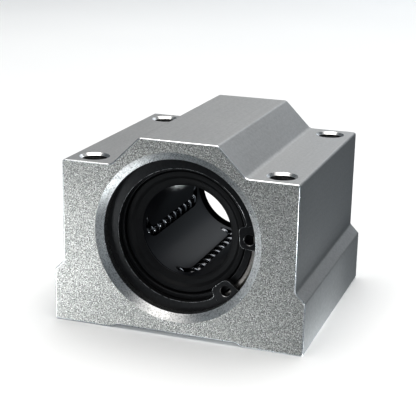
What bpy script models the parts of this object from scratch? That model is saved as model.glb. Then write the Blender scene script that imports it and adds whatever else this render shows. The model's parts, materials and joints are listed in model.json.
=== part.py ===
"""Linear ball bushing in a pillow-block housing, for a 20 mm shaft.

Metres, +Z up. The origin is at the middle of the flat underside. The bore axis runs along Y at
AXIS_HEIGHT, and the front face is at -Y. The bushing is made of a steel sleeve, a slotted ball
retainer, five closed ball circuits, two pressed end rings and two lip seals, and two internal
snap rings hold it in the extruded housing.

Each ball circuit is a flat racetrack: seven separate loaded balls, a string of three balls in each
turn, and a string of seven balls in the return row. Strings are linked by thin necks.
"""

import math

import bmesh
import bpy
from mathutils import Matrix, Vector

MM = 0.001
OBJECT_NAME = "linear_ball_bushing"
GAP = 0.15 * MM  # running gap between fitted pieces
MERGE = 0.01 * MM
OVERRUN = 1 * MM  # how far a cutting tool runs past the face it opens
SHARP_ANGLE = math.radians(35)

# Housing: an extruded profile, cut to length
HOUSING_WIDTH = 54 * MM
HOUSING_LENGTH = 50 * MM
HOUSING_HEIGHT = 41 * MM
SHOULDER_HEIGHT = 35 * MM
AXIS_HEIGHT = 21 * MM
WAIST_INDENT = 2.05 * MM
FOOT_HEIGHT = 11.1 * MM
HUMP_HALF_WIDTH = 8.2 * MM
BASE_RELIEF_DEPTH = 0.7 * MM
BASE_RELIEF_HALF_WIDTH = 13 * MM
BASE_RELIEF_SLOPE = 1.2 * MM
BORE_CHAMFER = 1.6 * MM
BORE_CHAMFER_DEPTH = 1.0 * MM
BOLT_SPACING_X = 40 * MM
BOLT_SPACING_Y = 40 * MM
BOLT_HOLE_RADIUS = 2.6 * MM
BOLT_SINK_RADIUS = 3.15 * MM

# Bushing
SHAFT_RADIUS = 10 * MM
SLEEVE_RADIUS = 16 * MM
SLEEVE_LENGTH = 42 * MM
SLEEVE_CHAMFER = 0.5 * MM
RING_GROOVE_SPAN = 30.5 * MM  # outer edge to outer edge of the two grooves in the sleeve
RING_GROOVE_WIDTH = 1.6 * MM
RING_GROOVE_RADIUS = 15.25 * MM
COUNTERBORE_RADIUS = 14.75 * MM
COUNTERBORE_DEPTH = 3.1 * MM
RETAINER_INNER_RADIUS = 10.3 * MM
RETAINER_END_WALL = 1.0 * MM

# Ball circuits
CIRCUITS = 5
FIRST_CIRCUIT_ANGLE = math.radians(-90)
BALL_RADIUS = 3.175 * MM / 2
ROW_BALLS = 7
TURN_BALLS = 3
BALL_PITCH = 3.3 * MM
TURN_RADIUS = 3.3 * MM
RETURN_LIFT = 1.3125 * MM  # return row's extra distance from the bore axis
CHANNEL_RADIUS = 1.72 * MM
NECK_RADIUS = 0.35 * MM

# Internal snap rings in the housing bore
SNAP_THICKNESS = 1.2 * MM
SNAP_GROOVE_WIDTH = 1.3 * MM
SNAP_GROOVE_RADIUS = 16.85 * MM
SNAP_OUTER_RADIUS = 16.7 * MM
SNAP_INNER_RADIUS = 14.0 * MM
SNAP_INNER_SHIFT = 0.35 * MM
SNAP_GAP_CENTRE = math.radians(-22)
SNAP_GAP_HALF = math.radians(17)
SNAP_LUG_ANGLE = math.radians(20)
SNAP_LUG_RADIUS = 12.5 * MM
SNAP_LUG_ROUNDING = 1.15 * MM
SNAP_HOLE_CENTRE = 14.4 * MM
SNAP_HOLE_RADIUS = 1.1 * MM
SNAP_HOLE_SHARE = 0.42  # the plier hole's place along the lug's angle, from the gap
SNAP_FOOT_SHARE = 1.1  # where the plain ring begins, as a share of the lug's angle
# A lug's inner side as (share of the lug's angle, share of the rounding above its crown)
SNAP_LUG_SHAPE = ((0, 1), (0.08, 0.3), (0.28, 0), (0.5, 0), (0.75, 0.3), (0.92, 1))

# Lip seal and pressed end ring
SEAL_LIP_RADIUS = 9.7 * MM
SEAL_THICKNESS = 1.6 * MM
# The seal's section as (distance from the lip, share of the thickness above the seat), face then back
SEAL_FACE = ((0, 0.3), (0.65 * MM, 0.5), (1.5 * MM, 0.6), (2.1 * MM, 0.95))
SEAL_RIM = ((3.05 * MM, 1), (3.4 * MM, 0.8), (3.4 * MM, 0))
SEAL_BACK = ((1.2 * MM, 0), (0.5 * MM, 0.2), (0.05 * MM, 0.12))
END_RING_INNER_RADIUS = 11.6 * MM
END_RING_SHEET = 0.6 * MM
END_RING_INSET = 0.35 * MM  # how far the end ring's rim stays inside the sleeve's end

# Values that follow from the ones above
HALF_LENGTH = HOUSING_LENGTH / 2
SLEEVE_HALF = SLEEVE_LENGTH / 2
BORE_RADIUS = SLEEVE_RADIUS + GAP
LOADED_RADIUS = SHAFT_RADIUS + BALL_RADIUS
RETURN_RADIUS = LOADED_RADIUS + RETURN_LIFT
RACE_RADIUS = LOADED_RADIUS + BALL_RADIUS + GAP / 2
RETAINER_RADIUS = RACE_RADIUS - GAP
STRAIGHT_HALF = ROW_BALLS * BALL_PITCH / 2
CHANNEL_END = STRAIGHT_HALF + TURN_RADIUS + CHANNEL_RADIUS
RETAINER_HALF = CHANNEL_END + RETAINER_END_WALL
END_RING_OUTER_RADIUS = COUNTERBORE_RADIUS - GAP
RETURN_ANGLE = math.acos(
    (LOADED_RADIUS**2 + RETURN_RADIUS**2 - (2 * TURN_RADIUS) ** 2)
    / (2 * LOADED_RADIUS * RETURN_RADIUS)
)
BORE_AXIS = Vector((0, 0, AXIS_HEIGHT))


# ---------------------------------------------------------------- scene, materials, objects


def clear_scene():
    for obj in list(bpy.data.objects):
        bpy.data.objects.remove(obj, do_unlink=True)


def new_collection(name):
    collection = bpy.data.collections.new(name)
    bpy.context.scene.collection.children.link(collection)
    return collection


def principled(name, colour, roughness, metallic):
    material = bpy.data.materials.new(name)
    material.use_nodes = True
    shader = material.node_tree.nodes["Principled BSDF"]
    shader.inputs["Base Color"].default_value = (*colour, 1)
    shader.inputs["Roughness"].default_value = roughness
    shader.inputs["Metallic"].default_value = metallic
    return material


def new_object(name, data, collection, material=None):
    obj = bpy.data.objects.new(name, data)
    collection.objects.link(obj)
    if material and not data.materials:
        data.materials.append(material)
    return obj


def add_node(name, mesh, material):
    obj = new_object(name, mesh, parts, material)
    mesh.shade_smooth()
    mesh.set_sharp_from_angle(angle=SHARP_ANGLE)
    return obj


def add_cutter(name, mesh):
    obj = new_object(name, mesh, cutters)
    obj.hide_render = True
    obj.display_type = "WIRE"
    return obj


def cut(obj, *tools):
    for tool in tools:
        boolean = obj.modifiers.new(tool.name, "BOOLEAN")
        boolean.operation = "DIFFERENCE"
        boolean.solver = "EXACT"
        boolean.object = tool


def evaluated_mesh(obj, name):
    """The object's mesh with its modifiers applied and any loose caps welded; the object is removed."""
    bpy.context.view_layer.update()
    graph = bpy.context.evaluated_depsgraph_get()
    mesh = bpy.data.meshes.new_from_object(obj.evaluated_get(graph))
    mesh.name = name
    work = bmesh.new()
    work.from_mesh(mesh)
    bmesh.ops.remove_doubles(work, verts=work.verts, dist=MERGE / 10)
    bmesh.ops.recalc_face_normals(work, faces=work.faces)
    work.to_mesh(mesh)
    work.free()
    bpy.data.objects.remove(obj, do_unlink=True)
    return mesh


# ---------------------------------------------------------------- outlines and basic shapes


def polar(radius, angle, centre=(0, 0)):
    return (centre[0] + radius * math.cos(angle), centre[1] + radius * math.sin(angle))


def arc(radius, start, end, steps, centre=(0, 0)):
    return [
        polar(radius, start + (end - start) * i / steps, centre)
        for i in range(steps + 1)
    ]


def fillet(before, corner, after, radius, steps=3):
    """Points of the arc that rounds a corner."""
    corner = Vector(corner)
    to_before = (Vector(before) - corner).normalized()
    to_after = (Vector(after) - corner).normalized()
    half = to_before.angle(to_after) / 2
    middle = (to_before + to_after).normalized()
    centre = corner + middle * (radius / math.sin(half))
    first = corner + to_before * (radius / math.tan(half)) - centre
    sweep = (math.pi - 2 * half) * math.copysign(1, to_after.cross(to_before))
    start = math.atan2(first.y, first.x)
    return arc(radius, start, start + sweep, steps, centre)


def rounded_outline(corners):
    """Closed outline from (x, z, radius) corners; radius 0 keeps the corner sharp."""
    points = []
    for i, (x, z, radius) in enumerate(corners):
        if radius == 0:
            points.append((x, z))
            continue
        before = corners[i - 1][:2]
        after = corners[(i + 1) % len(corners)][:2]
        points += fillet(before, (x, z), after, radius)
    return points


def extrusion(name, loops, length):
    """Closed solid of a flat outline (and its holes), extruded along Y about the XZ plane."""
    curve = bpy.data.curves.new(name, "CURVE")
    curve.dimensions = "2D"
    curve.fill_mode = "BOTH"
    curve.extrude = length / 2
    for loop in loops:
        spline = curve.splines.new("POLY")
        spline.points.add(len(loop) - 1)
        spline.use_cyclic_u = True
        for point, (x, z) in zip(spline.points, loop):
            point.co = (x, z, 0, 1)
    mesh = evaluated_mesh(new_object(name, curve, parts), name)
    mesh.transform(Matrix.Rotation(math.radians(90), 4, "X"))
    return mesh


def turned(name, profile, steps, closed=True):
    """Solid of revolution about Y from (radius, y) points that run round it clockwise, seen with Y up."""
    mesh = bpy.data.meshes.new(name)
    edges = [(i, i + 1) for i in range(len(profile) - 1)]
    if closed:
        edges.append((len(profile) - 1, 0))
    mesh.from_pydata([(r, 0, y) for r, y in profile], edges, [])
    obj = new_object(name, mesh, parts)
    screw = obj.modifiers.new("turn", "SCREW")
    screw.axis = "Z"
    screw.steps = steps
    screw.render_steps = steps
    screw.use_merge_vertices = True
    screw.merge_threshold = MERGE
    result = evaluated_mesh(obj, name)
    result.transform(Matrix.Rotation(math.radians(-90), 4, "X"))
    return result


def mirrored_in_y(mesh, name):
    """A copy of the mesh for the other end of the bushing."""
    copy = mesh.copy()
    copy.name = name
    copy.transform(Matrix.Scale(-1, 4, (0, 1, 0)))
    copy.flip_normals()
    return copy


def circuit_angle(number):
    return FIRST_CIRCUIT_ANGLE + number * math.tau / CIRCUITS


# ---------------------------------------------------------------- housing


def housing_profile():
    """Right half of the outline from the base relief up to the hump; the left half mirrors it."""
    half = HOUSING_WIDTH / 2
    waist = half - WAIST_INDENT
    slope = HOUSING_HEIGHT - SHOULDER_HEIGHT
    relief = BASE_RELIEF_HALF_WIDTH
    right = [
        (relief, BASE_RELIEF_DEPTH, 0.3 * MM),
        (relief + BASE_RELIEF_SLOPE, 0, 0),
        (half, 0, 0.5 * MM),
        (half, FOOT_HEIGHT, 0.5 * MM),
        (waist, FOOT_HEIGHT + WAIST_INDENT, 0.8 * MM),
        (waist, SHOULDER_HEIGHT, 0.6 * MM),
        (HUMP_HALF_WIDTH + slope, SHOULDER_HEIGHT, 1.5 * MM),
        (HUMP_HALF_WIDTH, HOUSING_HEIGHT, 0.9 * MM),
    ]
    left = [(-x, z, radius) for x, z, radius in reversed(right)]
    return rounded_outline(right + left)


def bore_tool():
    """The bore with its entry chamfers and the two snap ring grooves, as one turned tool."""
    groove_inner = SLEEVE_HALF
    groove_outer = groove_inner + SNAP_GROOVE_WIDTH
    slope = BORE_CHAMFER / BORE_CHAMFER_DEPTH
    mouth = BORE_RADIUS + BORE_CHAMFER + slope * OVERRUN
    half = [
        (0, HALF_LENGTH + OVERRUN),
        (mouth, HALF_LENGTH + OVERRUN),
        (BORE_RADIUS, HALF_LENGTH - BORE_CHAMFER_DEPTH),
        (BORE_RADIUS, groove_outer),
        (SNAP_GROOVE_RADIUS, groove_outer),
        (SNAP_GROOVE_RADIUS, groove_inner),
        (BORE_RADIUS, groove_inner),
    ]
    profile = half + [(r, -y) for r, y in reversed(half)]
    mesh = turned("bore_tool", profile, steps=48, closed=False)
    tool = add_cutter("bore_tool", mesh)
    tool.location = BORE_AXIS
    return tool


def bolt_tools():
    """Four vertical through holes, each with a countersink at the shoulder."""
    sink = BOLT_SINK_RADIUS - BOLT_HOLE_RADIUS
    top = SHOULDER_HEIGHT
    profile = [
        (0, top + OVERRUN),
        (BOLT_SINK_RADIUS + OVERRUN, top + OVERRUN),
        (BOLT_HOLE_RADIUS, top - sink),
        (BOLT_HOLE_RADIUS, -OVERRUN),
        (0, -OVERRUN),
    ]
    mesh = turned("bolt_tool", profile, steps=16, closed=False)
    mesh.transform(Matrix.Rotation(math.radians(90), 4, "X"))
    for x in (-BOLT_SPACING_X / 2, BOLT_SPACING_X / 2):
        for y in (-BOLT_SPACING_Y / 2, BOLT_SPACING_Y / 2):
            tool = add_cutter("bolt_tool", mesh)
            tool.location = (x, y, 0)
            yield tool


def build_housing(material):
    mesh = extrusion("housing_block", [housing_profile()], HOUSING_LENGTH)
    housing = add_node("housing_block", mesh, material)
    cut(housing, bore_tool(), *bolt_tools())


# ---------------------------------------------------------------- sleeve and retainer


def return_groove(angle):
    """Inner outline of the sleeve beside one loaded row: a flat and an end arc that clear the circuit.

    The balls' centres lie on the line between the two rows, so the sleeve clears them with a flat that is
    parallel to it, and with an arc about the return row.
    """
    back = angle - RETURN_ANGLE
    loaded = Vector(polar(LOADED_RADIUS, angle))
    returning = Vector(polar(RETURN_RADIUS, back))
    along = (returning - loaded).normalized()
    outward = Vector((-along.y, along.x))
    normal_angle = math.atan2(outward.y, outward.x)
    flat_distance = loaded.dot(outward) + CHANNEL_RADIUS
    flat_start = outward * flat_distance
    # where the arc about the return row meets the race
    reach = (RETURN_RADIUS**2 + RACE_RADIUS**2 - CHANNEL_RADIUS**2) / (
        2 * RETURN_RADIUS * RACE_RADIUS
    )
    meeting = Vector(polar(RACE_RADIUS, back - math.acos(reach)))
    to_meeting = meeting - returning
    end_angle = math.atan2(to_meeting.y, to_meeting.x)
    sweep = (end_angle - normal_angle) % -math.tau
    cap = arc(CHANNEL_RADIUS, normal_angle, normal_angle + sweep, 5, returning)
    return [tuple(flat_start)] + cap


def sleeve_bore():
    """Inner outline of the sleeve, run clockwise: race lands between the return grooves."""
    points = []
    for number in reversed(range(CIRCUITS)):
        groove = return_groove(circuit_angle(number))
        points += groove
        first = math.atan2(groove[-1][1], groove[-1][0])
        following = return_groove(circuit_angle(number - 1))[0]
        last = math.atan2(following[1], following[0])
        sweep = (last - first) % -math.tau
        points += arc(RACE_RADIUS, first, first + sweep, 4)[1:-1]
    return points


def build_sleeve(material):
    """Turned outside with two ring grooves and a counterbore at each end; the race is cut through it."""
    groove_outer = RING_GROOVE_SPAN / 2
    groove_inner = groove_outer - RING_GROOVE_WIDTH
    rough_bore = RACE_RADIUS - OVERRUN
    shelf = SLEEVE_HALF - COUNTERBORE_DEPTH
    rear_half = [
        (rough_bore, shelf),
        (COUNTERBORE_RADIUS, shelf),
        (COUNTERBORE_RADIUS, SLEEVE_HALF),
        (SLEEVE_RADIUS - SLEEVE_CHAMFER, SLEEVE_HALF),
        (SLEEVE_RADIUS, SLEEVE_HALF - SLEEVE_CHAMFER),
        (SLEEVE_RADIUS, groove_outer),
        (RING_GROOVE_RADIUS, groove_outer),
        (RING_GROOVE_RADIUS, groove_inner),
        (SLEEVE_RADIUS, groove_inner),
    ]
    profile = rear_half + [(r, -y) for r, y in reversed(rear_half)]
    mesh = turned("bearing_sleeve", profile, steps=48)
    sleeve = add_node("bearing_sleeve", mesh, material)
    sleeve.location = BORE_AXIS
    bore = extrusion("race_tool", [sleeve_bore()], 2 * (shelf + OVERRUN))
    race_tool = add_cutter("race_tool", bore)
    race_tool.location = BORE_AXIS
    cut(sleeve, race_tool)


def racetrack(steps):
    """Ball path in a circuit's plane: the loaded row at -x, the return row at +x, straight along y."""
    rear = arc(TURN_RADIUS, math.pi, 0, steps, (0, STRAIGHT_HALF))
    front = arc(TURN_RADIUS, 0, -math.pi, steps, (0, -STRAIGHT_HALF))
    return rear + front


def channel_section():
    """Section of the ball channel: round below the ball's centre, straight outward to past the retainer."""
    wall = RETAINER_RADIUS - LOADED_RADIUS + 2 * OVERRUN
    bottom = arc(CHANNEL_RADIUS, math.pi, math.tau, 6)
    return bottom + [(CHANNEL_RADIUS, wall), (-CHANNEL_RADIUS, wall)]


def channel_tool_mesh():
    """The channel section swept round the racetrack."""
    path = racetrack(steps=8)
    section = channel_section()
    work = bmesh.new()
    rings = []
    for i, (x, y) in enumerate(path):
        ahead = Vector(path[(i + 1) % len(path)]) - Vector((x, y))
        behind = Vector((x, y)) - Vector(path[i - 1])
        side = (ahead.normalized() + behind.normalized()).normalized()
        side = Vector((side.y, -side.x))
        rings.append(
            [
                work.verts.new((x + side.x * offset, y + side.y * offset, height))
                for offset, height in section
            ]
        )
    for i, ring in enumerate(rings):
        following = rings[(i + 1) % len(rings)]
        for j in range(len(section)):
            k = (j + 1) % len(section)
            work.faces.new((ring[j], ring[k], following[k], following[j]))
    bmesh.ops.recalc_face_normals(work, faces=work.faces)
    mesh = bpy.data.meshes.new("channel_tool")
    work.to_mesh(mesh)
    work.free()
    return mesh


def circuit_frame(number):
    """Placement of a circuit's plane: x from the loaded to the return row, y along the bore, z outward."""
    angle = circuit_angle(number)
    loaded = Vector(polar(LOADED_RADIUS, angle))
    returning = Vector(polar(RETURN_RADIUS, angle - RETURN_ANGLE))
    middle = (loaded + returning) / 2
    across = (returning - loaded).normalized()
    frame = Matrix(
        (
            (across.x, 0, -across.y, middle.x),
            (0, 1, 0, 0),
            (across.y, 0, across.x, middle.y),
            (0, 0, 0, 1),
        )
    )
    return Matrix.Translation(BORE_AXIS) @ frame


def build_retainer(material):
    profile = [
        (RETAINER_INNER_RADIUS, RETAINER_HALF),
        (RETAINER_RADIUS, RETAINER_HALF),
        (RETAINER_RADIUS, -RETAINER_HALF),
        (RETAINER_INNER_RADIUS, -RETAINER_HALF),
    ]
    retainer = add_node(
        "ball_retainer", turned("ball_retainer", profile, steps=48), material
    )
    retainer.location = BORE_AXIS
    channel = channel_tool_mesh()
    for number in range(CIRCUITS):
        tool = add_cutter(f"channel_tool_{number + 1}", channel)
        tool.matrix_world = circuit_frame(number)
        cut(retainer, tool)


# ---------------------------------------------------------------- balls


def ball_mesh(name):
    work = bmesh.new()
    bmesh.ops.create_icosphere(work, subdivisions=2, radius=BALL_RADIUS)
    mesh = bpy.data.meshes.new(name)
    work.to_mesh(mesh)
    work.free()
    return mesh


def bead_string(name, count, pitch, place):
    """Balls linked by thin necks, as one tube whose radius swells at each ball.

    place(distance) gives the point of the path at a distance from the string's middle.
    """
    neck = math.asin(NECK_RADIUS / BALL_RADIUS)
    turns = [neck, math.radians(60), math.radians(120), math.pi - neck]
    sections = []
    for i in range(count):
        middle = (i - (count - 1) / 2) * pitch
        for turn in turns:
            sections.append(
                (
                    place(middle - BALL_RADIUS * math.cos(turn)),
                    BALL_RADIUS * math.sin(turn),
                )
            )
    curve = bpy.data.curves.new(name, "CURVE")
    curve.dimensions = "3D"
    curve.twist_mode = "Z_UP"
    curve.bevel_depth = 1
    curve.bevel_resolution = 2
    curve.use_fill_caps = True
    spline = curve.splines.new("POLY")
    spline.points.add(len(sections) - 1)
    for point, ((x, y), radius) in zip(spline.points, sections):
        point.co = (x, y, 0, 1)
        point.radius = radius
    return evaluated_mesh(new_object(name, curve, parts), name)


def row_string_mesh():
    return bead_string("row_string", ROW_BALLS, BALL_PITCH, lambda s: (0, s))


def turn_string_mesh():
    """Three balls round a half turn about the origin, for the rear end."""
    pitch = math.pi * TURN_RADIUS / TURN_BALLS
    return bead_string(
        "turn_string",
        TURN_BALLS,
        pitch,
        lambda s: polar(TURN_RADIUS, math.pi / 2 + s / TURN_RADIUS),
    )


def build_circuits(material):
    ball = ball_mesh("ball")
    row = row_string_mesh()
    turn = turn_string_mesh()
    for number in range(CIRCUITS):
        label = number + 1
        frame = circuit_frame(number)
        for i in range(ROW_BALLS):
            loaded_ball = add_node(f"row_{label}_ball_{i + 1}", ball, material)
            place = (-TURN_RADIUS, (i - (ROW_BALLS - 1) / 2) * BALL_PITCH, 0)
            loaded_ball.matrix_world = frame @ Matrix.Translation(place)
        returning = add_node(f"row_{label}_return_balls", row, material)
        returning.matrix_world = frame @ Matrix.Translation((TURN_RADIUS, 0, 0))
        rear = add_node(f"row_{label}_rear_turn_balls", turn, material)
        rear.matrix_world = frame @ Matrix.Translation((0, STRAIGHT_HALF, 0))
        front = add_node(f"row_{label}_front_turn_balls", turn, material)
        half_turn = Matrix.Rotation(math.pi, 4, "Z")
        front.matrix_world = (
            frame @ Matrix.Translation((0, -STRAIGHT_HALF, 0)) @ half_turn
        )


# ---------------------------------------------------------------- end rings, seals, snap rings


def add_end_pair(kind, rear_mesh, material):
    rear = add_node(f"rear_{kind}", rear_mesh, material)
    front = add_node(
        f"front_{kind}", mirrored_in_y(rear_mesh, f"front_{kind}"), material
    )
    for obj in (rear, front):
        obj.location = BORE_AXIS


def build_end_rings(material):
    """L-section ring: a flange over the retainer's end and a rim pressed into the sleeve."""
    bottom = RETAINER_HALF + GAP
    flange_top = bottom + END_RING_SHEET
    shelf = SLEEVE_HALF - COUNTERBORE_DEPTH + GAP
    rim_top = SLEEVE_HALF - END_RING_INSET
    rim_inner = END_RING_OUTER_RADIUS - END_RING_SHEET * 2
    profile = [
        (END_RING_INNER_RADIUS, flange_top),
        (rim_inner, flange_top),
        (rim_inner, rim_top),
        (END_RING_OUTER_RADIUS, rim_top),
        (END_RING_OUTER_RADIUS, shelf),
        (RETAINER_RADIUS, shelf),
        (RETAINER_RADIUS, bottom),
        (END_RING_INNER_RADIUS, bottom),
    ]
    add_end_pair("end_ring", turned("rear_end_ring", profile, steps=40), material)


def build_seals(material):
    """Rubber ring with a dished face that thins to a lip just under the shaft's radius."""
    seat = RETAINER_HALF + END_RING_SHEET + 2 * GAP
    profile = [
        (SEAL_LIP_RADIUS + offset, seat + SEAL_THICKNESS * share)
        for offset, share in SEAL_FACE + SEAL_RIM + SEAL_BACK
    ]
    add_end_pair("seal", turned("rear_seal", profile, steps=40), material)


def lug_side(edge, sense):
    """Inner side of one snap ring lug, from the gap outward: a rounded ear with a concave foot."""
    return [
        polar(
            SNAP_LUG_RADIUS + lift * SNAP_LUG_ROUNDING,
            edge + sense * share * SNAP_LUG_ANGLE,
        )
        for share, lift in SNAP_LUG_SHAPE
    ]


def snap_ring_outline():
    """Ring whose width grows away from its gap, with a lug either side of the gap."""
    gap_side = SNAP_GAP_CENTRE + SNAP_GAP_HALF
    other_side = SNAP_GAP_CENTRE - SNAP_GAP_HALF + math.tau
    lug_foot = SNAP_LUG_ANGLE * SNAP_FOOT_SHARE
    shift = polar(SNAP_INNER_SHIFT, SNAP_GAP_CENTRE)
    outer = arc(SNAP_OUTER_RADIUS, gap_side, other_side, 44)
    inner = arc(
        SNAP_INNER_RADIUS, other_side - lug_foot, gap_side + lug_foot, 32, shift
    )
    return outer + lug_side(other_side, -1) + inner + lug_side(gap_side, 1)[::-1]


def build_snap_rings(material):
    lug_middle = SNAP_GAP_HALF + SNAP_LUG_ANGLE * SNAP_HOLE_SHARE
    holes = []
    for angle in (SNAP_GAP_CENTRE - lug_middle, SNAP_GAP_CENTRE + lug_middle):
        centre = polar(SNAP_HOLE_CENTRE, angle)
        holes.append(arc(SNAP_HOLE_RADIUS, 0, math.tau, 10, centre)[:-1])
    mesh = extrusion("rear_snap_ring", [snap_ring_outline(), *holes], SNAP_THICKNESS)
    middle = SLEEVE_HALF + SNAP_GROOVE_WIDTH / 2
    mesh.transform(Matrix.Translation((0, middle, 0)))
    add_end_pair("snap_ring", mesh, material)


clear_scene()
parts = new_collection(OBJECT_NAME)
cutters = new_collection("cutters")
aluminium = principled("aluminium", (0.62, 0.62, 0.61), 0.42, 0.9)
sleeve_steel = principled("sleeve_steel", (0.52, 0.50, 0.47), 0.3, 1.0)
ball_steel = principled("ball_steel", (0.72, 0.73, 0.75), 0.12, 1.0)
black_plastic = principled("black_plastic", (0.012, 0.012, 0.014), 0.35, 0.0)
black_steel = principled("black_steel", (0.02, 0.02, 0.022), 0.4, 0.6)
black_rubber = principled("black_rubber", (0.01, 0.01, 0.011), 0.55, 0.0)

build_housing(aluminium)
build_sleeve(sleeve_steel)
build_retainer(black_plastic)
build_circuits(ball_steel)
build_end_rings(black_steel)
build_seals(black_rubber)
build_snap_rings(black_steel)
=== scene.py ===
"""The looks of the linear ball bushing: every CAD node is replaced by a finely modelled piece."""

import json
import math

import bmesh
import bpy
from mathutils import Matrix, Vector


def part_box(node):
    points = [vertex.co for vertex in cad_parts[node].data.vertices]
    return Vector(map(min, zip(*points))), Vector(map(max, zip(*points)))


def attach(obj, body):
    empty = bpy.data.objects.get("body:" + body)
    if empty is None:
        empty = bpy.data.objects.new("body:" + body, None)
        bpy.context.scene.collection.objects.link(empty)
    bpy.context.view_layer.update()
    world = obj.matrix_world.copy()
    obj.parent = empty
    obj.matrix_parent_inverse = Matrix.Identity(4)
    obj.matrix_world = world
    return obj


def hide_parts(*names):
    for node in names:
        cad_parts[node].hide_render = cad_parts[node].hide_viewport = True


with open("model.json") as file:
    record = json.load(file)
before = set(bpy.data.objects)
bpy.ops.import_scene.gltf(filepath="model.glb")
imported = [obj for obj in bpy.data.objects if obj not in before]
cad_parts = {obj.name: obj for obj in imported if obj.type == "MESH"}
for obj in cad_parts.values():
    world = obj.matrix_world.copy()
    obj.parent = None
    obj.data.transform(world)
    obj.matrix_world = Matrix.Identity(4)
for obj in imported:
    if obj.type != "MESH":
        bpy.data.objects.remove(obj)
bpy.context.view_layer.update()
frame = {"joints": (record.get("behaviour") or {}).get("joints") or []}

MM = 0.001
ROOT = "housing_unit"
BLOCK_LOW, BLOCK_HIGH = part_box("housing_block")
SLEEVE_LOW, SLEEVE_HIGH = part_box("bearing_sleeve")
RETAINER_LOW, RETAINER_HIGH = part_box("ball_retainer")
SNAP_LOW, SNAP_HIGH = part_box("rear_snap_ring")
SEAL_LOW, SEAL_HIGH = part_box("rear_seal")
END_RING_LOW, END_RING_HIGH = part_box("rear_end_ring")
BALL_LOW, BALL_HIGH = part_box("row_1_ball_1")
BORE_AXIS = (SLEEVE_LOW + SLEEVE_HIGH) / 2
CIRCUITS = 5
ROW_BALLS = 7
TURN_BALLS = 3
JOINTS = {joint["name"]: joint for joint in frame["joints"]}

# Housing
HALF_LENGTH = BLOCK_HIGH.y
HALF_WIDTH = BLOCK_HIGH.x
HOUSING_HEIGHT = BLOCK_HIGH.z
SHOULDER_HEIGHT = HOUSING_HEIGHT - 6 * MM
WAIST_INDENT = 2.05 * MM
FOOT_HEIGHT = 11.1 * MM
HUMP_HALF_WIDTH = 8.2 * MM
BASE_RELIEF_DEPTH = 0.7 * MM
BASE_RELIEF_HALF_WIDTH = 13 * MM
BASE_RELIEF_SLOPE = 1.2 * MM
END_EDGE = 0.28 * MM
BORE_RADIUS = (SLEEVE_HIGH.x - SLEEVE_LOW.x) / 2 + 0.15 * MM
BORE_CHAMFER = 1.6 * MM
BORE_CHAMFER_DEPTH = 1.0 * MM
SNAP_GROOVE_WIDTH = 1.3 * MM
SNAP_GROOVE_RADIUS = 16.85 * MM
BOLT_OFFSET = 20 * MM
DRILL_RADIUS = 2.6 * MM
SINK_RADIUS = 3.15 * MM
THREAD_RADIUS = 3.0 * MM
THREAD_PITCH = 1.0 * MM
THREAD_DEPTH = 12 * MM
THREAD_STEEPNESS = 2.6  # makes the V groove 2 / 2.6 of a pitch wide

# Bushing
SLEEVE_RADIUS = (SLEEVE_HIGH.x - SLEEVE_LOW.x) / 2
SLEEVE_HALF = SLEEVE_HIGH.y
SLEEVE_CHAMFER = 0.5 * MM
RING_GROOVE_OUTER = 15.25 * MM  # outer side of the sleeve's groove, from the middle plane
RING_GROOVE_WIDTH = 1.6 * MM
RING_GROOVE_RADIUS = 15.25 * MM
COUNTERBORE_RADIUS = (END_RING_HIGH.x - END_RING_LOW.x) / 2 + 0.15 * MM
COUNTERBORE_DEPTH = 3.1 * MM
RETAINER_RADIUS = (RETAINER_HIGH.x - RETAINER_LOW.x) / 2
RETAINER_INNER_RADIUS = 10.3 * MM
RETAINER_HALF = RETAINER_HIGH.y
RACE_RADIUS = RETAINER_RADIUS + 0.15 * MM
BALL_RADIUS = (BALL_HIGH.y - BALL_LOW.y) / 2
CHANNEL_RADIUS = 1.72 * MM

# Snap rings
SNAP_THICKNESS = SNAP_HIGH.y - SNAP_LOW.y
SNAP_MIDDLE = (SNAP_HIGH.y + SNAP_LOW.y) / 2
SNAP_OUTER_RADIUS = 16.7 * MM
SNAP_INNER_RADIUS = 14.0 * MM
SNAP_INNER_SHIFT = 0.35 * MM
SNAP_GAP_CENTRE = math.radians(-22)
SNAP_GAP_HALF = math.radians(17)
SNAP_LUG_ANGLE = math.radians(20)
SNAP_LUG_RADIUS = 12.5 * MM
SNAP_HOLE_CENTRE = 14.4 * MM
SNAP_HOLE_RADIUS = 1.1 * MM
SNAP_HOLE_SHARE = 0.42  # the plier hole's place along the lug's angle, from the gap
SNAP_CLEAR_SHARE = 1.35  # where the plain ring begins, as a share of the lug's angle
SNAP_EDGE = 0.12 * MM
SNAP_EDGE_TILT = (0.1, 0.97)  # share of a bevelled face's normal that runs along the bore

# Seals and end rings
SEAL_LIP_RADIUS = 9.7 * MM
SEAL_CLEARANCE = 0.03 * MM
END_RING_SHEET = 0.6 * MM
END_RING_INNER_RADIUS = 11.6 * MM
END_RING_GAP = 0.15 * MM  # between the end ring and the sleeve's shelf

# Light and tone
WHITE = (1, 1, 1)
WARM = (1.0, 0.98, 0.955)
COOL = (0.95, 0.985, 1.0)
BLUISH = (0.86, 0.93, 1.0)
SKY = (0.8, 0.91, 1.0)
SKY_STRENGTH = 0.2
VIEW_GAMMA = 0.77

# Mesh quality
ROUND_STEPS = 160
BALL_SEGMENTS = 28
BALL_RINGS = 16
BEVEL_ANGLE = math.radians(50)
SHARP_ANGLE = math.radians(32)

# Camera, solved from the housing's corners
CAMERA_AZIMUTH = math.radians(18.85)
CAMERA_ELEVATION = math.radians(16.52)
CAMERA_ROLL = math.radians(1.30)
CAMERA_DISTANCE = 0.2489
CAMERA_TARGET = Vector((-0.00198, 0, 0.0205))
CAMERA_LENS = 97.8


# ---------------------------------------------------------------- outlines


def polar(radius, angle, centre=(0, 0)):
    return (centre[0] + radius * math.cos(angle), centre[1] + radius * math.sin(angle))


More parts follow.
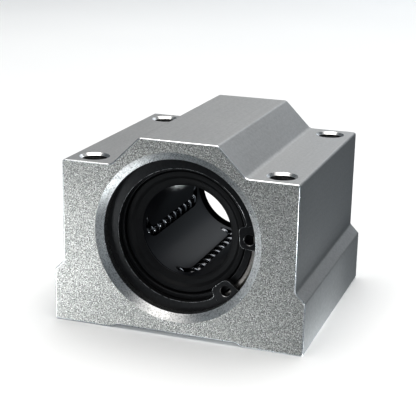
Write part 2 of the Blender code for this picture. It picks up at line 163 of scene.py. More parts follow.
def arc(radius, start, end, steps, centre=(0, 0)):
    return [
        polar(radius, start + (end - start) * i / steps, centre)
        for i in range(steps + 1)
    ]


def fillet(before, corner, after, radius, steps):
    """Points of the arc that rounds a corner."""
    corner = Vector(corner)
    to_before = (Vector(before) - corner).normalized()
    to_after = (Vector(after) - corner).normalized()
    half = to_before.angle(to_after) / 2
    middle = (to_before + to_after).normalized()
    centre = corner + middle * (radius / math.sin(half))
    first = corner + to_before * (radius / math.tan(half)) - centre
    sweep = (math.pi - 2 * half) * math.copysign(1, to_after.cross(to_before))
    start = math.atan2(first.y, first.x)
    return arc(radius, start, start + sweep, steps, centre)


def rounded(corners, steps=6, closed=True):
    """Outline from (x, z, radius) corners; radius 0 keeps the corner sharp."""
    points = []
    for i, (x, z, radius) in enumerate(corners):
        at_end = not closed and i in (0, len(corners) - 1)
        if radius == 0 or at_end:
            points.append((x, z))
            continue
        before = corners[i - 1][:2]
        after = corners[(i + 1) % len(corners)][:2]
        points += fillet(before, (x, z), after, radius, steps)
    return points


# ---------------------------------------------------------------- mesh builders


def mesh_from(work, name):
    bmesh.ops.recalc_face_normals(work, faces=work.faces)
    mesh = bpy.data.meshes.new(name)
    work.to_mesh(mesh)
    work.free()
    return mesh


def prism(name, outline, low, high):
    """Solid of an XZ outline between two values of Y."""
    work = bmesh.new()
    face = work.faces.new([work.verts.new((x, low, z)) for x, z in outline])
    made = bmesh.ops.extrude_face_region(work, geom=[face])["geom"]
    moved = [item for item in made if isinstance(item, bmesh.types.BMVert)]
    bmesh.ops.translate(work, verts=moved, vec=(0, high - low, 0))
    return mesh_from(work, name)


def lathe(name, profile, steps=ROUND_STEPS, closed=True):
    """Solid of revolution about Y from (radius, y) points; an open profile starts and ends on the axis."""
    work = bmesh.new()
    rings = []
    for radius, y in profile:
        if radius == 0:
            rings.append([work.verts.new((0, y, 0))] * steps)
            continue
        ring = []
        for i in range(steps):
            x, z = polar(radius, math.tau * i / steps)
            ring.append(work.verts.new((x, y, z)))
        rings.append(ring)
    pairs = list(zip(rings, rings[1:]))
    if closed:
        pairs.append((rings[-1], rings[0]))
    for one, other in pairs:
        for i in range(steps):
            k = (i + 1) % steps
            corners = list(dict.fromkeys((one[i], one[k], other[k], other[i])))
            if len(corners) > 2:
                work.faces.new(corners)
    return mesh_from(work, name)


def new_object(name, mesh, matrix=None):
    obj = bpy.data.objects.new(name, mesh)
    bpy.context.scene.collection.objects.link(obj)
    if matrix is not None:
        obj.matrix_world = matrix
    return obj


def apply_modifiers(obj):
    bpy.context.view_layer.update()
    graph = bpy.context.evaluated_depsgraph_get()
    mesh = bpy.data.meshes.new_from_object(obj.evaluated_get(graph))
    obj.modifiers.clear()
    obj.data = mesh


def cut(obj, tools):
    """Cuts the tool objects out of obj, and removes them."""
    for tool in tools:
        boolean = obj.modifiers.new("cut", "BOOLEAN")
        boolean.operation = "DIFFERENCE"
        boolean.solver = "EXACT"
        boolean.object = tool
    apply_modifiers(obj)
    for tool in tools:
        bpy.data.objects.remove(tool, do_unlink=True)


def bevel(obj, width, segments=2):
    modifier = obj.modifiers.new("bevel", "BEVEL")
    modifier.width = width
    modifier.segments = segments
    modifier.limit_method = "ANGLE"
    modifier.angle_limit = BEVEL_ANGLE
    modifier.use_clamp_overlap = False
    apply_modifiers(obj)


def smooth(obj):
    obj.data.shade_smooth()
    obj.data.set_sharp_from_angle(angle=SHARP_ANGLE)
    weighted = obj.modifiers.new("normals", "WEIGHTED_NORMAL")
    weighted.keep_sharp = True
    weighted.weight = 90
    apply_modifiers(obj)


def place(obj, node, body=ROOT):
    """The piece stands for its CAD node and moves with the node's body."""
    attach(obj, body)
    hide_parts(node)


# ---------------------------------------------------------------- materials


class Paint:
    """A Principled material and the few node shortcuts that the pieces share."""

    def __init__(self, name, colour, roughness, metallic, **values):
        self.material = bpy.data.materials.new(name)
        self.material.use_nodes = True
        self.tree = self.material.node_tree
        self.shader = self.tree.nodes["Principled BSDF"]
        settings = {
            "Base Color": (*colour, 1),
            "Roughness": roughness,
            "Metallic": metallic,
            **values,
        }
        for socket, value in settings.items():
            self.shader.inputs[socket].default_value = value
        self.coordinates = self.tree.nodes.new("ShaderNodeTexCoord").outputs["Object"]

    def link(self, output, socket):
        self.tree.links.new(output, socket)

    def stretched(self, scale):
        node = self.tree.nodes.new("ShaderNodeMapping")
        node.inputs["Scale"].default_value = scale
        self.link(self.coordinates, node.inputs["Vector"])
        return node.outputs["Vector"]

    def noise(self, scale, detail=3, roughness=0.6, vector=None):
        node = self.tree.nodes.new("ShaderNodeTexNoise")
        node.inputs["Scale"].default_value = scale
        node.inputs["Detail"].default_value = detail
        node.inputs["Roughness"].default_value = roughness
        self.link(vector or self.coordinates, node.inputs["Vector"])
        return node.outputs["Fac"]

    def grains(self, scale):
        node = self.tree.nodes.new("ShaderNodeTexVoronoi")
        node.inputs["Scale"].default_value = scale
        self.link(self.coordinates, node.inputs["Vector"])
        return node.outputs["Color"]

    def ramp(self, value, stops):
        """Colour ramp through (position, colour or grey) stops."""
        node = self.tree.nodes.new("ShaderNodeValToRGB")
        elements = node.color_ramp.elements
        while len(elements) < len(stops):
            elements.new(0.5)
        for element, (position, colour) in zip(elements, stops):
            grey = not isinstance(colour, tuple)
            element.position = position
            element.color = (colour, colour, colour, 1) if grey else (*colour, 1)
        self.link(value, node.inputs["Fac"])
        return node.outputs["Color"]

    def mix(self, factor, one, other, mode="MIX"):
        node = self.tree.nodes.new("ShaderNodeMix")
        node.data_type = "RGBA"
        node.blend_type = mode
        if isinstance(factor, float):
            node.inputs["Factor"].default_value = factor
        else:
            self.link(factor, node.inputs["Factor"])
        self.link(one, node.inputs["A"])
        self.link(other, node.inputs["B"])
        return node.outputs["Result"]

    def colour(self, output):
        self.link(output, self.shader.inputs["Base Color"])

    def rough(self, output):
        self.link(output, self.shader.inputs["Roughness"])

    def bump(self, height, distance, strength=1.0):
        node = self.tree.nodes.new("ShaderNodeBump")
        node.inputs["Strength"].default_value = strength
        node.inputs["Distance"].default_value = distance
        self.link(height, node.inputs["Height"])
        self.link(node.outputs["Normal"], self.shader.inputs["Normal"])


def blasted_aluminium():
    """End faces: sandblasted grain with bright and dark specks."""
    paint = Paint("aluminium_blasted", (0.68, 0.68, 0.66), 0.5, 0.9)
    grain = paint.noise(4600, detail=3, roughness=0.7)
    base = paint.ramp(
        grain,
        [(0.36, (0.2, 0.19, 0.175)), (0.5, (0.61, 0.6, 0.575)), (0.61, (0.97, 0.96, 0.94))],
    )
    specks = paint.ramp(paint.grains(3600), [(0.25, 0.45), (0.7, 1.0)])
    paint.colour(paint.mix(0.7, base, specks, "MULTIPLY"))
    paint.rough(paint.ramp(grain, [(0.3, 0.62), (0.7, 0.4)]))
    paint.bump(grain, 0.075 * MM, 1.0)
    return paint.material


def drawn_aluminium():
    """Extruded sides: satin, with faint draw lines along the length and a fine speckle."""
    paint = Paint("aluminium_drawn", (0.41, 0.41, 0.41), 0.5, 0.6)
    lines = paint.noise(1400, detail=3, vector=paint.stretched((1, 0.01, 1)))
    patches = paint.noise(60, detail=2)
    streaks = paint.ramp(lines, [(0.3, 0.395), (0.7, 0.415)])
    speckle = paint.ramp(paint.noise(1800, detail=3), [(0.35, 0.86), (0.65, 1.0)])
    paint.colour(paint.mix(1.0, streaks, speckle, "MULTIPLY"))
    paint.rough(paint.ramp(patches, [(0.3, 0.46), (0.7, 0.54)]))
    paint.bump(lines, 0.002 * MM, 0.3)
    return paint.material


def machined_aluminium():
    """Bore and chamfers: turned, with fine rings round the bore, and pitted by the blasting."""
    paint = Paint("aluminium_machined", (0.66, 0.66, 0.66), 0.28, 1.0)
    rings = paint.noise(2600, detail=2, vector=paint.stretched((0.04, 1, 0.04)))
    marks = paint.noise(350, detail=4, roughness=0.7)
    turned = paint.ramp(rings, [(0.3, (0.8, 0.79, 0.78)), (0.7, (0.92, 0.92, 0.91))])
    pits = paint.ramp(paint.noise(3000, detail=3, roughness=0.7), [(0.38, 0.62), (0.52, 1.0)])
    stain = paint.mix(1.0, paint.ramp(marks, [(0.4, 0.88), (0.6, 1.0)]), pits, "MULTIPLY")
    paint.colour(paint.mix(1.0, turned, stain, "MULTIPLY"))
    paint.rough(paint.ramp(marks, [(0.3, 0.32), (0.7, 0.26)]))
    paint.bump(rings, 0.006 * MM, 0.3)
    return paint.material


def bright_edge():
    """Deburred end edges: bare and burnished."""
    paint = Paint("aluminium_edge", (0.9, 0.9, 0.9), 0.3, 1.0)
    wear = paint.noise(2500, detail=3)
    paint.colour(paint.ramp(wear, [(0.3, 0.8), (0.6, 0.97)]))
    paint.rough(paint.ramp(wear, [(0.3, 0.38), (0.7, 0.24)]))
    return paint.material


def tapped_hole():
    """Tapped bolt holes: dull, with a dark colour that paints the shade inside the holes."""
    paint = Paint("aluminium_tapped", (0.12, 0.12, 0.12), 0.6, 0.7)
    hole_shade_mottle = paint.noise(1800, detail=3)
    # painted shade: the hole walls are coloured dark, mottled between two dark greys
    paint.colour(paint.ramp(hole_shade_mottle, [(0.3, 0.07), (0.7, 0.16)]))
    return paint.material


def bearing_steel():
    paint = Paint("steel_ground", (0.46, 0.43, 0.4), 0.32, 0.95)
    lines = paint.noise(1800, detail=2, vector=paint.stretched((1, 0.05, 1)))
    paint.colour(
        paint.ramp(lines, [(0.3, (0.38, 0.35, 0.32)), (0.7, (0.52, 0.49, 0.46))])
    )
    paint.bump(lines, 0.006 * MM, 0.3)
    return paint.material


def ball_steel():
    # Polished balls; the base colour is kept dark as painted shade for balls deep in the bore
    paint = Paint("steel_polished", (0.36, 0.36, 0.37), 0.24, 1.0)
    haze = paint.noise(900, detail=2)
    paint.colour(
        paint.ramp(haze, [(0.3, (0.32, 0.32, 0.33)), (0.7, (0.4, 0.4, 0.41))])
    )
    paint.rough(paint.ramp(haze, [(0.3, 0.22), (0.7, 0.28)]))
    return paint.material


def black_finish(name, dark, light, roughness, metallic, grain, gloss=0.5, spread=0.055):
    """A black piece: mottled between two shades; the roughness varies by the spread either way."""
    paint = Paint(name, dark, roughness, metallic, **{"Specular IOR Level": gloss})
    texture = paint.noise(grain, detail=3)
    paint.colour(paint.ramp(texture, [(0.3, dark), (0.7, light)]))
    paint.rough(paint.ramp(texture, [(0.3, roughness - spread), (0.7, roughness + spread)]))
    grain_height = spread * 0.05 * MM
    paint.bump(texture, grain_height, 0.3)
    return paint.material


def black_plastic():
    """Ball retainer: moulded, satin, very slightly blue."""
    return black_finish(
        "plastic_black",
        dark=(0.002, 0.002, 0.006),
        light=(0.004, 0.004, 0.01),
        roughness=0.3,
        metallic=0.0,
        grain=300,
        gloss=0.16,
        spread=0.006,
    )


def black_rubber():
    """Seals: satin black."""
    return black_finish(
        "rubber_black",
        dark=(0.004, 0.004, 0.005),
        light=(0.008, 0.008, 0.009),
        roughness=0.5,
        metallic=0.0,
        grain=1200,
        gloss=0.3,
    )


def worn_highlit_edge():
    """Snap ring's rounded edges: oxide rubbed thin, and a lighter colour that paints the edge highlight.
    """
    paint = Paint("steel_worn_painted_highlight", (0.2, 0.2, 0.2), 0.3, 0.9)
    wear = paint.noise(900, detail=3)
    # painted highlight: the light patches stand in for the edges' highlight lines, along with the rubbed
    # oxide
    paint.colour(paint.ramp(wear, [(0.4, 0.08), (0.6, 0.5)]))
    paint.rough(paint.ramp(wear, [(0.3, 0.38), (0.7, 0.26)]))
    return paint.material


def black_steel():
    """Snap rings and end rings: black oxide over spring steel."""
    return black_finish(
        "steel_black_oxide",
        dark=(0.01, 0.01, 0.011),
        light=(0.024, 0.024, 0.026),
        roughness=0.34,
        metallic=0.3,
        grain=1800,
    )


# ---------------------------------------------------------------- housing


def housing_outline():
    waist = HALF_WIDTH - WAIST_INDENT
    slope = HOUSING_HEIGHT - SHOULDER_HEIGHT
    relief = BASE_RELIEF_HALF_WIDTH
    right = [
        (relief, BASE_RELIEF_DEPTH, 0.5 * MM),
        (relief + BASE_RELIEF_SLOPE, 0, 0.5 * MM),
        (HALF_WIDTH, 0, 0.5 * MM),
        (HALF_WIDTH, FOOT_HEIGHT, 0.6 * MM),
        (waist, FOOT_HEIGHT + WAIST_INDENT, 0.9 * MM),
        (waist, SHOULDER_HEIGHT, 0.6 * MM),
        (HUMP_HALF_WIDTH + slope, SHOULDER_HEIGHT, 1.5 * MM),
        (HUMP_HALF_WIDTH, HOUSING_HEIGHT, 0.9 * MM),
    ]
    left = [(-x, z, radius) for x, z, radius in reversed(right)]
    return rounded(right + left)


def bore_tool():
    slope = BORE_CHAMFER / BORE_CHAMFER_DEPTH
    over = 1 * MM
    half = [
        (0, HALF_LENGTH + over),
        (BORE_RADIUS + BORE_CHAMFER + slope * over, HALF_LENGTH + over),
        (BORE_RADIUS, HALF_LENGTH - BORE_CHAMFER_DEPTH),
        (BORE_RADIUS, SLEEVE_HALF + SNAP_GROOVE_WIDTH),
        (SNAP_GROOVE_RADIUS, SLEEVE_HALF + SNAP_GROOVE_WIDTH),
        (SNAP_GROOVE_RADIUS, SLEEVE_HALF),
        (BORE_RADIUS, SLEEVE_HALF),
    ]
    profile = half + [(r, -y) for r, y in reversed(half)]
    mesh = lathe("bore_tool", profile, steps=2 * ROUND_STEPS, closed=False)
    return new_object("bore_tool", mesh, Matrix.Translation(BORE_AXIS))


def tapped_tool(x, y):
    """One bolt hole as a solid: countersink, helical thread, then the plain drilling."""
    around, rows_per_pitch = 40, 6
    over = 1 * MM
    sink_depth = SINK_RADIUS - DRILL_RADIUS
    thread_rows = int((THREAD_DEPTH - sink_depth) / THREAD_PITCH) * rows_per_pitch

    def thread_radius(row, i):
        phase = (row / rows_per_pitch + i / around) % 1
        height = max(0.0, 1 - abs(phase - 0.5) * THREAD_STEEPNESS)
        fade = min(1, row / rows_per_pitch, (thread_rows - row) / rows_per_pitch)
        return DRILL_RADIUS + (THREAD_RADIUS - DRILL_RADIUS) * height * fade

    rings = [(SHOULDER_HEIGHT + over, [SINK_RADIUS + over] * around)]
    for row in range(thread_rows + 1):
        z = SHOULDER_HEIGHT - sink_depth - row * THREAD_PITCH / rows_per_pitch
        rings.append((z, [thread_radius(row, i) for i in range(around)]))
    rings.append((-over, [DRILL_RADIUS] * around))
    work = bmesh.new()
    made = []
    for z, radii in rings:
        places = [polar(radius, math.tau * i / around) for i, radius in enumerate(radii)]
        made.append([work.verts.new((px, py, z)) for px, py in places])
    for one, other in zip(made, made[1:]):
        for i in range(around):
            k = (i + 1) % around
            work.faces.new((one[i], one[k], other[k], other[i]))
    work.faces.new(made[0])
    work.faces.new(made[-1])
    mesh = mesh_from(work, "tapped_tool")
    return new_object("tapped_tool", mesh, Matrix.Translation((x, y, 0)))


def housing_finish(centre, normal):
    """Which of HOUSING_FINISHES a face of the housing has."""
    from_bore = math.hypot(centre.x - BORE_AXIS.x, centre.z - BORE_AXIS.z)
    from_bolt = math.hypot(abs(centre.x) - BOLT_OFFSET, abs(centre.y) - BOLT_OFFSET)
    if from_bore < BORE_RADIUS + BORE_CHAMFER and abs(normal.y) < 0.99:
        return "bore"
    if from_bolt < SINK_RADIUS and abs(normal.z) < 0.99 and centre.z > 0:
        in_sink = centre.z > SHOULDER_HEIGHT - SINK_RADIUS + DRILL_RADIUS
        # hole walls below the countersink take the tapped finish, whose dark colour is painted shade
        return "bore" if in_sink else "hole"
    if abs(normal.y) > 0.99:
        return "end"
    if abs(normal.y) > 0.1:
        return "edge"
    return "side"


HOUSING_FINISHES = {
    "end": blasted_aluminium,
    "side": drawn_aluminium,
    "bore": machined_aluminium,
    "edge": bright_edge,
    "hole": tapped_hole,
}


def build_housing():
    mesh = prism("housing", housing_outline(), -HALF_LENGTH, HALF_LENGTH)
    housing = new_object("housing", mesh)
    bevel(housing, END_EDGE, segments=3)
    cut(housing, [bore_tool()])
    for x in (-BOLT_OFFSET, BOLT_OFFSET):
        for y in (-BOLT_OFFSET, BOLT_OFFSET):
            cut(housing, [tapped_tool(x, y)])
    for make in HOUSING_FINISHES.values():
        housing.data.materials.append(make())
    order = list(HOUSING_FINISHES)
    for face in housing.data.polygons:
        face.material_index = order.index(housing_finish(face.center, face.normal))
    smooth(housing)
    place(housing, "housing_block")


# ---------------------------------------------------------------- ball circuits


class Circuit:
    """One ball circuit's places, read from the CAD balls and the turn's joint."""

    def __init__(self, number):
        self.number = number
        self.loaded = []
        for i in range(ROW_BALLS):
            low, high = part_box(f"row_{number}_ball_{i + 1}")
            self.loaded.append((low + high) / 2)
        hinge = JOINTS[f"row_{number}_rear_turn_swing"]
        self.turn_centre = Vector(hinge["pos_m"])
        normal = Vector(hinge["axis"])
        start = self.loaded[0].copy()
        start.y = self.turn_centre.y
        across = self.turn_centre - start
        self.radius = across.length
        across.normalize()
        middle = self.turn_centre.copy()
        middle.y = 0
        along = Vector((0, 1, 0))
        self.frame = Matrix.Translation(middle) @ Matrix((across, along, normal)).transposed().to_4x4()
        self.half = self.turn_centre.y

    def turn(self, end):
        """Ball centres round the rear (end = 1) or front (end = -1) turn."""
        step = math.pi / TURN_BALLS
        places = [polar(self.radius, step * (i + 0.5)) for i in range(TURN_BALLS)]
        return [self.frame @ Vector((x, end * (self.half + y), 0)) for x, y in places]

    def returning(self):
        shift = self.frame.to_3x3() @ Vector((2 * self.radius, 0, 0))
        return [centre + shift for centre in self.loaded]

    def channel(self):
        """The ball channel as one solid: round below the balls, open outward through the retainer."""
        steps = 20
        rear = arc(self.radius, math.pi, 0, steps, (0, self.half))
        front = arc(self.radius, 0, -math.pi, steps, (0, -self.half))
        path = rear + front
        wall = 4 * MM
        bottom = arc(CHANNEL_RADIUS, math.pi, math.tau, 16)
        section = bottom + [(CHANNEL_RADIUS, wall), (-CHANNEL_RADIUS, wall)]
        work = bmesh.new()
        rings = []
        for i, (x, y) in enumerate(path):
            here = Vector((x, y))
            ahead = (Vector(path[(i + 1) % len(path)]) - here).normalized()
            behind = (here - Vector(path[i - 1])).normalized()
            along = (ahead + behind).normalized()
            side = Vector((along.y, -along.x))
            rings.append(
                [
                    work.verts.new((x + side.x * offset, y + side.y * offset, height))
                    for offset, height in section
                ]
            )
        for i, ring in enumerate(rings):
            following = rings[(i + 1) % len(rings)]
            for j in range(len(section)):
                k = (j + 1) % len(section)
                work.faces.new((ring[j], ring[k], following[k], following[j]))
        return new_object("channel_tool", mesh_from(work, "channel_tool"), self.frame)


def balls(name, centres, material, body, node):
    """One piece made of separate polished balls."""
    work = bmesh.new()
    for centre in centres:
        bmesh.ops.create_uvsphere(
            work,
            u_segments=BALL_SEGMENTS,
            v_segments=BALL_RINGS,
            radius=BALL_RADIUS,
            matrix=Matrix.Translation(centre),
        )
    mesh = mesh_from(work, name)
    mesh.materials.append(material)
    mesh.shade_smooth()
    place(new_object(name, mesh), node, body)


def build_circuits(circuits, material):
    for circuit in circuits:
        row = f"row_{circuit.number}"
        for i, centre in enumerate(circuit.loaded):
            node = f"{row}_ball_{i + 1}"
            balls(f"{row}_loaded_ball_{i + 1}", [centre], material, f"{row}_loaded", node)
        groups = (
            ("return", circuit.returning()),
            ("rear_turn", circuit.turn(1)),
            ("front_turn", circuit.turn(-1)),
        )
        for kind, centres in groups:
            node = f"{row}_{kind}_balls"
            balls(f"{row}_{kind}_set", centres, material, f"{row}_{kind}", node)


# ---------------------------------------------------------------- sleeve, retainer, end pieces


def return_groove(circuit):
    """Sleeve's inner outline beside one loaded row, relative to the bore axis: a flat, then an end arc."""
    to_frame = circuit.frame
    offset = Vector((BORE_AXIS.x, BORE_AXIS.z))

    def flat(point):
        world = to_frame @ Vector(point)
        return Vector((world.x, world.z)) - offset

    returning = flat((circuit.radius, 0, 0))
    outward = flat((circuit.radius, 0, 1)) - returning
    normal_angle = math.atan2(outward.y, outward.x)
    flat_start = outward * (returning.dot(outward) + CHANNEL_RADIUS)
    distance = returning.length
    reach = (distance**2 + RACE_RADIUS**2 - CHANNEL_RADIUS**2) / (
        2 * distance * RACE_RADIUS
    )
    back = math.atan2(returning.y, returning.x)
    meeting = Vector(polar(RACE_RADIUS, back - math.acos(reach))) - returning
    end_angle = math.atan2(meeting.y, meeting.x)
    sweep = (end_angle - normal_angle) % -math.tau
    cap = arc(CHANNEL_RADIUS, normal_angle, normal_angle + sweep, 16, returning)
    return [tuple(flat_start)] + cap


def race_tool(circuits):
    points = []
    for index in reversed(range(len(circuits))):
        groove = return_groove(circuits[index])
        points += groove
        first = math.atan2(groove[-1][1], groove[-1][0])
        following = return_groove(circuits[index - 1])[0]
        last = math.atan2(following[1], following[0])
        sweep = (last - first) % -math.tau
        points += arc(RACE_RADIUS, first, first + sweep, 14)[1:-1]
    reach = SLEEVE_HALF - COUNTERBORE_DEPTH + 1 * MM
    mesh = prism("race_tool", points, -reach, reach)
    return new_object("race_tool", mesh, Matrix.Translation(BORE_AXIS))


def build_sleeve(circuits):
    shelf = SLEEVE_HALF - COUNTERBORE_DEPTH
    rough_bore = RACE_RADIUS - 1 * MM
    groove_inner = RING_GROOVE_OUTER - RING_GROOVE_WIDTH
    edge = 0.15 * MM
    rear_half = [
        (rough_bore, shelf),
        (COUNTERBORE_RADIUS, shelf),
        (COUNTERBORE_RADIUS, SLEEVE_HALF - edge),
        (COUNTERBORE_RADIUS + edge, SLEEVE_HALF),
        (SLEEVE_RADIUS - SLEEVE_CHAMFER, SLEEVE_HALF),
        (SLEEVE_RADIUS, SLEEVE_HALF - SLEEVE_CHAMFER),
        (SLEEVE_RADIUS, RING_GROOVE_OUTER),
        (RING_GROOVE_RADIUS, RING_GROOVE_OUTER),
        (RING_GROOVE_RADIUS, groove_inner),
        (SLEEVE_RADIUS, groove_inner),
    ]
    profile = rear_half + [(r, -y) for r, y in reversed(rear_half)]
    sleeve = new_object(
        "sleeve", lathe("sleeve", profile), Matrix.Translation(BORE_AXIS)
    )
    cut(sleeve, [race_tool(circuits)])
    sleeve.data.materials.append(bearing_steel())
    smooth(sleeve)
    place(sleeve, "bearing_sleeve")


def build_retainer(circuits):
    edge = 0.3 * MM
    inner, outer, end = RETAINER_INNER_RADIUS, RETAINER_RADIUS, RETAINER_HALF
    profile = [
        (inner + edge, end),
        (outer - edge, end),
        (outer, end - edge),
        (outer, edge - end),
        (outer - edge, -end),
        (inner + edge, -end),
        (inner, edge - end),
        (inner, end - edge),
    ]
    retainer = new_object(
        "retainer", lathe("retainer", profile), Matrix.Translation(BORE_AXIS)
    )
    cut(retainer, [circuit.channel() for circuit in circuits])
    retainer.data.materials.append(black_plastic())
    smooth(retainer)
    place(retainer, "ball_retainer")


def end_pair(kind, rear_mesh, materials):
    """The same piece at both ends, mirrored in the middle plane."""
    for end, sign in (("rear", 1), ("front", -1)):
        mesh = rear_mesh.copy()
        if sign < 0:
            mesh.transform(Matrix.Scale(-1, 4, (0, 1, 0)))
            mesh.flip_normals()
        mesh.transform(Matrix.Translation(BORE_AXIS))
        for material in materials:
            mesh.materials.append(material)
        obj = new_object(f"{end}_{kind}_piece", mesh)
        smooth(obj)
        place(obj, f"{end}_{kind}")


def build_end_rings(material):
    low, high = END_RING_LOW.y, END_RING_HIGH.y
    outer = (END_RING_HIGH.x - END_RING_LOW.x) / 2
    flange = low + END_RING_SHEET
    shelf = SLEEVE_HALF - COUNTERBORE_DEPTH + END_RING_GAP
    rim_inner = (SEAL_HIGH.x - SEAL_LOW.x) / 2 + SEAL_CLEARANCE
    corners = [
        (END_RING_INNER_RADIUS, flange, 0.15 * MM),
        (rim_inner, flange, 0.3 * MM),
        (rim_inner, high, 0.2 * MM),
        (outer, high, 0.2 * MM),
        (outer, shelf, 0.1 * MM),
        (RETAINER_RADIUS, shelf, 0.02 * MM),
        (RETAINER_RADIUS, low, 0.02 * MM),
        (END_RING_INNER_RADIUS, low, 0.15 * MM),
    ]
    end_pair("end_ring", lathe("end_ring", rounded(corners, 4)), [material])


def build_seals(material):
    seat, thickness = SEAL_LOW.y, SEAL_HIGH.y - SEAL_LOW.y
    rim, lip = (SEAL_HIGH.x - SEAL_LOW.x) / 2, SEAL_LIP_RADIUS
    corners = [
        (lip, seat + thickness * 0.3, 0.05 * MM),
        (lip + 0.65 * MM, seat + thickness * 0.5, 0.15 * MM),
        (lip + 1.5 * MM, seat + thickness * 0.6, 0.2 * MM),
        (lip + 2.1 * MM, seat + thickness * 0.95, 0.2 * MM),
        (rim - 0.35 * MM, seat + thickness, 0.15 * MM),
        (rim, seat + thickness * 0.8, 0.1 * MM),
        (rim, seat, 0.05 * MM),
        (lip + 1.2 * MM, seat, 0.1 * MM),
        (lip + 0.5 * MM, seat + thickness * 0.2, 0.1 * MM),
        (lip + 0.05 * MM, seat + thickness * 0.12, 0.03 * MM),
    ]
    end_pair("seal", lathe("seal", rounded(corners, 4)), [material])


def snap_ring_outline():
    gap_side = SNAP_GAP_CENTRE + SNAP_GAP_HALF
    other_side = SNAP_GAP_CENTRE - SNAP_GAP_HALF + math.tau
    shift = polar(SNAP_INNER_SHIFT, SNAP_GAP_CENTRE)
    clear = SNAP_LUG_ANGLE * SNAP_CLEAR_SHARE

    def lug(edge, sense):
        """Corners of one lug from the gap's outer corner to its concave foot."""
        foot = edge + sense * SNAP_LUG_ANGLE
        near_foot = polar(SNAP_INNER_RADIUS, foot, shift)
        return [
            (*polar(SNAP_OUTER_RADIUS, edge), 0.25 * MM),
            (*polar(SNAP_LUG_RADIUS, edge), 1.3 * MM),
            (*polar(SNAP_LUG_RADIUS, foot), 1.1 * MM),
            (*near_foot, 0.7 * MM),
        ]

    outer = arc(SNAP_OUTER_RADIUS, gap_side, other_side, ROUND_STEPS)[2:-2]
    inner = arc(
        SNAP_INNER_RADIUS, other_side - clear, gap_side + clear, ROUND_STEPS, shift
    )
    corners = [(x, z, 0) for x, z in outer]
    corners += lug(other_side, -1)
    corners += [(x, z, 0) for x, z in inner]
    corners += lug(gap_side, 1)[::-1]
    return rounded(corners)


def plier_hole(angle):
    """Straight hole through a lug with a small break at both faces."""
    half, flare = SNAP_THICKNESS / 2, 0.12 * MM
    profile = [
        (0, half + flare),
        (SNAP_HOLE_RADIUS + 2 * flare, half + flare),
        (SNAP_HOLE_RADIUS, half - flare),
        (SNAP_HOLE_RADIUS, flare - half),
        (SNAP_HOLE_RADIUS + 2 * flare, -half - flare),
        (0, -half - flare),
    ]
    x, z = polar(SNAP_HOLE_CENTRE, angle)
    mesh = lathe("plier_hole", profile, steps=40, closed=False)
    return new_object("plier_hole", mesh, Matrix.Translation((x, SNAP_MIDDLE, z)))


def build_snap_rings(material):
    low, high = SNAP_MIDDLE - SNAP_THICKNESS / 2, SNAP_MIDDLE + SNAP_THICKNESS / 2
    ring = new_object("snap_ring", prism("snap_ring", snap_ring_outline(), low, high))
    bevel(ring, SNAP_EDGE)
    from_gap = SNAP_GAP_HALF + SNAP_LUG_ANGLE * SNAP_HOLE_SHARE
    angles = (SNAP_GAP_CENTRE - from_gap, SNAP_GAP_CENTRE + from_gap)
    cut(ring, [plier_hole(angle) for angle in angles])
    tilt_low, tilt_high = SNAP_EDGE_TILT
    # bevelled faces get the worn edge colour, which also paints the edge highlight
    for face in ring.data.polygons:
        face.material_index = 1 if tilt_low < abs(face.normal.y) < tilt_high else 0
    end_pair("snap_ring", ring.data, [material, worn_highlit_edge()])
    bpy.data.objects.remove(ring, do_unlink=True)


# ---------------------------------------------------------------- stage, light, camera


def build_floor():
    work = bmesh.new()
    bmesh.ops.create_grid(work, x_segments=2, y_segments=2, size=4)
    floor = new_object("floor", mesh_from(work, "floor"))
    floor.location.z = -0.05 * MM
    paint = Paint("floor_pale", (0.86, 0.86, 0.86), 0.9, 0.0)
    mottle = paint.noise(3, detail=2)
    paint.colour(paint.ramp(mottle, [(0.3, 0.84), (0.7, 0.88)]))
    floor.data.materials.append(paint.material)
    floor.visible_diffuse = False
    floor.visible_glossy = False
    floor.visible_shadow = False


def area_light(name, place_at, size, power, colour, target):
    data = bpy.data.lights.new(name, "AREA")
    data.shape = "SQUARE"
    data.size = size
    data.energy = power
    data.color = colour
    light = bpy.data.objects.new(name, data)
    bpy.context.scene.collection.objects.link(light)
    light.location = place_at
    light.rotation_euler = (light.location - target).to_track_quat("Z", "Y").to_euler()


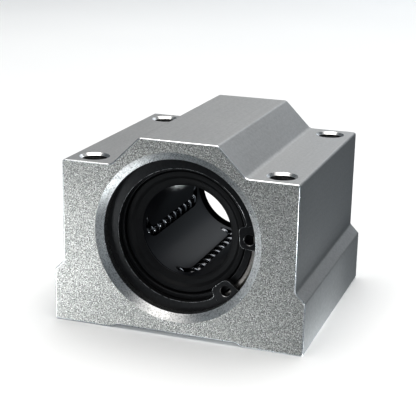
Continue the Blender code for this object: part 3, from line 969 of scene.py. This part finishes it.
def build_light():
    """Soft front, overhead and back light; small low lights stand in for the floor's bounce."""
    world = bpy.data.worlds.new("studio")
    world.use_nodes = True
    background = world.node_tree.nodes["Background"]
    background.inputs["Color"].default_value = (*SKY, 1)
    background.inputs["Strength"].default_value = SKY_STRENGTH
    bpy.context.scene.world = world
    front = Vector((0, -HALF_LENGTH, FOOT_HEIGHT))
    foot = Vector((HALF_WIDTH, 0, FOOT_HEIGHT / 2))
    rear = Vector((0, HALF_LENGTH, BORE_AXIS.z))
    # name, place, size, power, colour, the point it is aimed at
    lights = (
        ("front_light", (-0.1, -0.6, 0.6), 0.5, 1.06, WARM, BORE_AXIS),
        ("top_light", (0, 0, 0.9), 0.9, 9.1, WARM, BORE_AXIS),
        ("top_back_light", (0, 0.7, 0.7), 0.8, 2.2, WHITE, BORE_AXIS),
        ("back_light", (0.1, 0.9, 0.25), 0.6, 0.86, BLUISH, BORE_AXIS),
        ("front_left_bounce", (-0.06, -0.07, -0.015), 0.03, 0.018, COOL, front),
        ("front_bounce", (0, -0.06, -0.02), 0.03, 0.005, COOL, front),
        ("right_bounce", (0.04, -0.01, -0.02), 0.02, 0.022, COOL, foot),
        ("right_back_bounce", (0.045, 0.03, -0.03), 0.03, 0.004, COOL, foot),
        ("rear_bounce", (-0.02, 0.08, -0.03), 0.05, 0.2, COOL, rear),
        ("low_left_light", (-0.05, -0.075, 0.008), 0.014, 0.008, COOL, front),
        ("low_right_light", (0.07, -0.08, 0.006), 0.012, 0.015, COOL, foot),
    )
    for light in lights:
        area_light(*light)
    view = bpy.context.scene.view_settings
    view.view_transform = "Standard"
    view.gamma = VIEW_GAMMA


def build_camera():
    """A long lens from the front right, a little above."""
    azimuth, elevation, roll = CAMERA_AZIMUTH, CAMERA_ELEVATION, CAMERA_ROLL
    back_x = math.sin(azimuth) * math.cos(elevation)
    back_y = -math.cos(azimuth) * math.cos(elevation)
    back = Vector((back_x, back_y, math.sin(elevation)))
    right = Vector((math.cos(azimuth), math.sin(azimuth), 0))
    up = back.cross(right)
    turned_right = right * math.cos(roll) + up * math.sin(roll)
    turned_up = up * math.cos(roll) - right * math.sin(roll)
    data = bpy.data.cameras.new("camera")
    data.sensor_width = 36
    data.lens = CAMERA_LENS
    data.clip_start = 0.01
    camera = bpy.data.objects.new("camera", data)
    bpy.context.scene.collection.objects.link(camera)
    axes = Matrix((turned_right, turned_up, back)).transposed().to_4x4()
    camera.matrix_world = Matrix.Translation(CAMERA_TARGET + back * CAMERA_DISTANCE) @ axes
    bpy.context.scene.camera = camera


build_camera()
build_floor()
build_light()
circuits = [Circuit(number + 1) for number in range(CIRCUITS)]
build_housing()
build_sleeve(circuits)
build_retainer(circuits)
build_circuits(circuits, ball_steel())
oxide = black_steel()
build_end_rings(oxide)
build_seals(black_rubber())
build_snap_rings(oxide)
